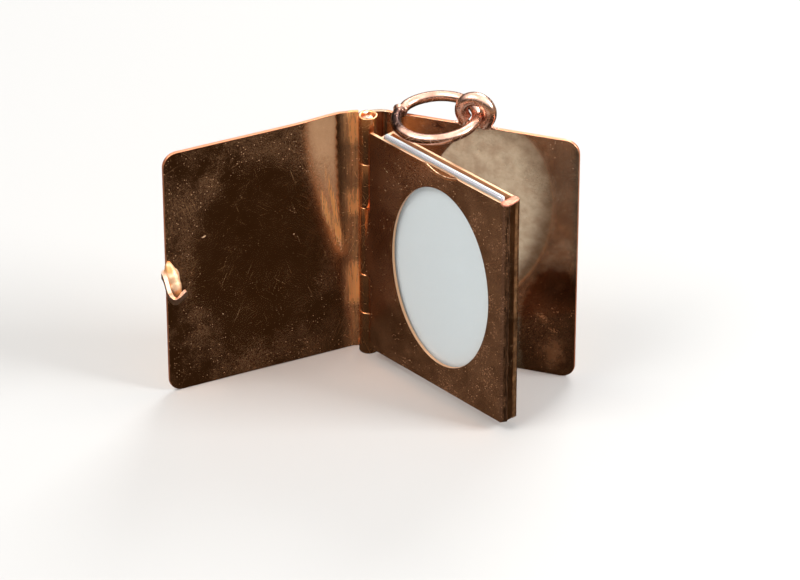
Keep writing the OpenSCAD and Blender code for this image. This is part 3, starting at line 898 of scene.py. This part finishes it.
# %% Sizes of the page
page_gap, fore_gap = 1.0, 0.95
page_low, page_high = page_gap, height - page_gap
page_w = width - fore_gap
front_plate, back_plate, wall = 0.27, 0.25, 0.25
plate_start, box_start, page_bar = 1.1, 2.2, 0.75
fold_radius = 0.45 - front_plate / 2
window_w, window_h = 11.6, 17.3
window_x = (box_start + page_w) / 2 - 0.1
window_z = (page_low + page_high) / 2 + 0.25
nick_w, nick_h, nick_depth, nick_ledge = 4.0, 0.5, 0.05, 0.08
tongue_start, tongue_dip, dip_from, dip_over = 0.3, 0.12, 0.85, 0.2

# %% Cut and fold the front plate
fold_start = page_w - fold_radius - front_plate / 2
fold_length = fold_radius * math.pi / 2
fold_end = fold_start + fold_length + 0.15
tongue = runs["page_leaf"][0]
corners = [(plate_start, page_low, 0), (fold_end, page_low, 0), (fold_end, page_high, 0),
           (plate_start, page_high, 0), (plate_start, tongue[1], 0), (tongue_start, tongue[1], 0),
           (tongue_start, tongue[0], 0), (plate_start, tongue[0], 0)]
window = oval(window_x, window_z, window_w, window_h)
fold_zone = (fold_start - 0.2, -1, fold_end + 1, height, 0.13)
nick_zone = (window_x - nick_w / 2 - 0.3, page_high - nick_h - 0.3,
             window_x + nick_w / 2 + 0.3, height, 0.07)
spots, faces = filled(rounded(corners), [window], 0.55, [fold_zone, nick_zone])
front_y = -page_t / 2 + front_plate / 2
points = []
for way, z in spots:
    x, y, _ = walk((0, front_y), 0, [(fold_start, 0), (fold_length, 90)], way)
    calm = 1 if way < fold_start else 0
    off = ((way - window_x) / (nick_w / 2)) ** 2
    under = z - page_high + nick_h * (1 - off)
    scoop = nick_ledge * clamped(under / 0.06) + nick_depth * clamped(under / nick_h)
    y += (ripple(x, z, 15.2, 5, 0.02) + scoop) * calm
    y += tongue_dip * clamped((dip_from - x) / dip_over)
    points.append((x, y, z))
plate = make("page_front_plate", points, faces, "page_leaf", page_gold, "page_gold",
             ["page_frame"])
thicken(plate, front_plate, plate_edge)

# %% Cut the back plate
corners = [(box_start, page_low, 0), (page_w, page_low, 0), (page_w, page_high, 0),
           (box_start, page_high, 0)]
spots, faces = filled(rounded(corners), [window], 0.55)
back_y = page_t / 2 - back_plate / 2
points = [(x, back_y + ripple(x, z, 21.4, 5, 0.02), z) for x, z in spots]
plate = make("page_back_plate", points, faces, "page_leaf", page_gold, "page_gold")
thicken(plate, back_plate, plate_edge)


# %% Walls and bar of the page
def block(name, low, high, edge, finish):
    """A bar or wall between two corners, with softened edges."""
    points = [(x, y, z) for z in (low[2], high[2]) for y in (low[1], high[1])
              for x in (low[0], high[0])]
    faces = [(0, 2, 3, 1), (4, 5, 7, 6), (0, 1, 5, 4), (2, 6, 7, 3), (0, 4, 6, 2), (1, 3, 7, 5)]
    soften(make(name, points, faces, "page_leaf", finish, "page_gold"), edge)


inner_front = -page_t / 2 + front_plate
inner_back = page_t / 2 - back_plate
inset, seam_sunk, flange_from = 0.02, 0.06, 0.32
foot = page_low + inset
block("page_spine_wall", (box_start, inner_front, foot),
      (box_start + wall, inner_back, page_high - inset), wall_edge, page_gold)
block("page_floor_wall", (box_start, inner_front, foot),
      (page_w - page_bar, inner_back, page_low + wall), wall_edge, page_gold)
block("page_fore_bar", (page_w - page_bar, inner_front, foot),
      (page_w - seam_sunk, inner_back, page_high - seam_sunk), wall_edge, seam_gold)
block("page_back_flange", (page_w - back_plate, flange_from, page_low),
      (page_w, page_t / 2, page_high), 0.07, flange_gold)

# %% Run the solder over the end of the bar
cap_in, cap_down, cap_sag, cap_half = 0.34, 0.1, 0.06, 0.6
saddle = [ball((page_w - cap_in, y, page_high - cap_down - cap_sag * (1 - abs(y) / cap_half)),
               (0.4, 0.34, 0.24)) for y in (-0.55, -0.35, -0.15, 0.05, 0.25, 0.45, 0.6)]
make("page_end_solder", *melted(saddle, 0.035, 4), "page_leaf", end_gold, "page_gold")

# %% [markdown]
# ## The film and the paper
# Behind the window lies a sheet of clear film, and behind that the paper that fills the frame
# while it holds no picture. Both stand a little proud of the page, to be pulled out by.

# %% Cut the film and the paper
paper_white, tree, shader = new_material("matt rag paper")
spot = add(tree, "ShaderNodeTexCoord")
fibres = add(tree, "ShaderNodeTexNoise", inputs={
    "Vector": spot.outputs["Object"], "Scale": 2.5 / MM, "Detail": 6.0, "Roughness": 0.7})
tone = add(tree, "ShaderNodeMix", {"data_type": "RGBA"},
           {0: fibres.outputs[0], 6: linear("#d3dee1"), 7: linear("#e6edee")})
tree.links.new(tone.outputs[2], shader.inputs["Base Color"])
shader.inputs["Roughness"].default_value = 0.85
bump = add(tree, "ShaderNodeBump", inputs={
    "Height": fibres.outputs[0], "Strength": 0.3, "Distance": 0.01 * MM})
tree.links.new(bump.outputs[0], shader.inputs["Normal"])

# Celluloid is all but clear face on. Its cut edges scatter light and look milky, a little violet.
clear_film, tree, shader = new_material("clear celluloid film")
spot = add(tree, "ShaderNodeTexCoord")
facing = add(tree, "ShaderNodeSeparateXYZ", inputs={0: spot.outputs["Normal"]})
flat = add(tree, "ShaderNodeMath", {"operation": "ABSOLUTE"}, {0: facing.outputs["Y"]})
milky = ramp(tree, flat.outputs[0], 0.6, 0.95, 0.8, 0.14)
tone = add(tree, "ShaderNodeMix", {"data_type": "RGBA"},
           {0: milky, 6: linear("#eef7fa"), 7: linear("#a9a0b8")})
tree.links.new(milky, shader.inputs["Alpha"])
tree.links.new(tone.outputs[2], shader.inputs["Base Color"])
shader.inputs["Roughness"].default_value = 0.06
shader.inputs["IOR"].default_value = 1.5

slot_gap = 0.04
film_t, paper_t, film_rise, paper_rise = 0.15, 0.2, 0.22, 0.28
for name, node, finish, slot, start, thick, rise in (
        ("clear_film", "window_pane", clear_film, "clear_film", slot_gap, film_t, film_rise),
        ("picture_paper", "paper_insert", paper_white, "pale_paper",
         2 * slot_gap + film_t, paper_t, paper_rise)):
    low_x, high_x = box_start + wall + slot_gap, page_w - page_bar - slot_gap
    low_z, high_z = page_low + wall + slot_gap, page_high + rise
    corners = [(low_x, low_z, 0), (high_x, low_z, 0), (high_x, high_z, 0.12), (low_x, high_z, 0.12)]
    spots, faces = filled(rounded(corners), [], 1.1)
    y = inner_front + start + thick / 2
    piece = make(name, [(x, y, z) for x, z in spots], faces, "page_leaf", finish, slot, [node])
    thicken(piece, thick, wall_edge)

# %% [markdown]
# ## The catch
# A strip of gold wraps round the fore edge of the front cover and snaps behind the back cover. It
# is soldered to a small pad on the inner face, and the solder has run unevenly.

# %% Bend the catch
catch_t, catch_h, catch_lip, catch_clear, catch_round = 0.36, 0.55, 0.72, 0.25, 0.85
catch_x = width + catch_clear + catch_t / 2
behind = -(cover_middle + sheet / 2) + catch_t / 2
ahead = cover_middle + sheet / 2 + 0.07 + catch_t / 2
turn_r = catch_round - catch_t / 2
quarter = turn_r * math.pi / 2
flank = catch_x - turn_r - (width - catch_lip)
across = ahead - behind - 2 * turn_r
catch_moves = [(flank, 0), (quarter, 90), (across, 0), (quarter, 90), (flank, 0)]
catch_length = sum(length for length, _ in catch_moves)
catch_dips = ((0, 12.3), (flank + quarter, 12.4), (flank + quarter + across, 11.2),
              (flank + 1.5 * quarter + across, 11.0), (catch_length, 11.7))


def catch_top(way):
    """Height of the strip's top edge, which sags towards the lip and rises again at its tip."""
    for (a, low), (b, high) in zip(catch_dips, catch_dips[1:]):
        if way <= b:
            return low + (high - low) * eased((way - a) / (b - a))
    return catch_dips[-1][1]


spots, faces = filled(rounded([(0, 0, 0), (catch_length, 0, 0.2), (catch_length, catch_h, 0.12),
                               (0, catch_h, 0)]), [], 0.07)
points = [(*walk((width - catch_lip, behind), 0, catch_moves, way)[:2],
           catch_top(way) - catch_h + z) for way, z in spots]
catch = make("catch_strip", points, faces, "front_leaf", catch_gold, "cover_gold")
thicken(catch, catch_t, 0.07)

# %% Run the solder of its pad
inner_face = -(page_t / 2 + cover_gap)
run_start = Vector((width - 0.16, inner_face + 0.02, 12.95))
run_way = Vector((-0.24, 1.35, -2.1))
run_thin, run_thick, run_uneven = 0.2, 0.4, 0.07
lumps = []
for k in range(13):
    run = k / 12
    size = run_thin + run_thick * math.sin(math.pi * 0.84 * run ** 0.8)
    size += run_uneven * noise.noise(Vector((run * 7, 0, 3.0)))
    lumps.append(ball(run_start + run_way * run, (size, size * 0.9, size)))
for reach, out, z, wide, thick, tall in (
        (0.62, 0.0, 11.6, 0.6, 0.14, 0.85), (0.5, 0.2, 11.2, 0.42, 0.35, 0.5),
        (-0.02, 0.25, 12.2, 0.34, 0.4, 0.5), (-0.04, 0.6, 11.8, 0.3, 0.6, 0.45),
        (0.02, 1.0, 11.3, 0.3, 0.5, 0.4)):
    lumps.append(ball((width - reach, inner_face + out, z), (wide, thick, tall)))
make("catch_solder", *melted(lumps, solder_grain, 26), "front_leaf", solder_gold, "cover_gold")
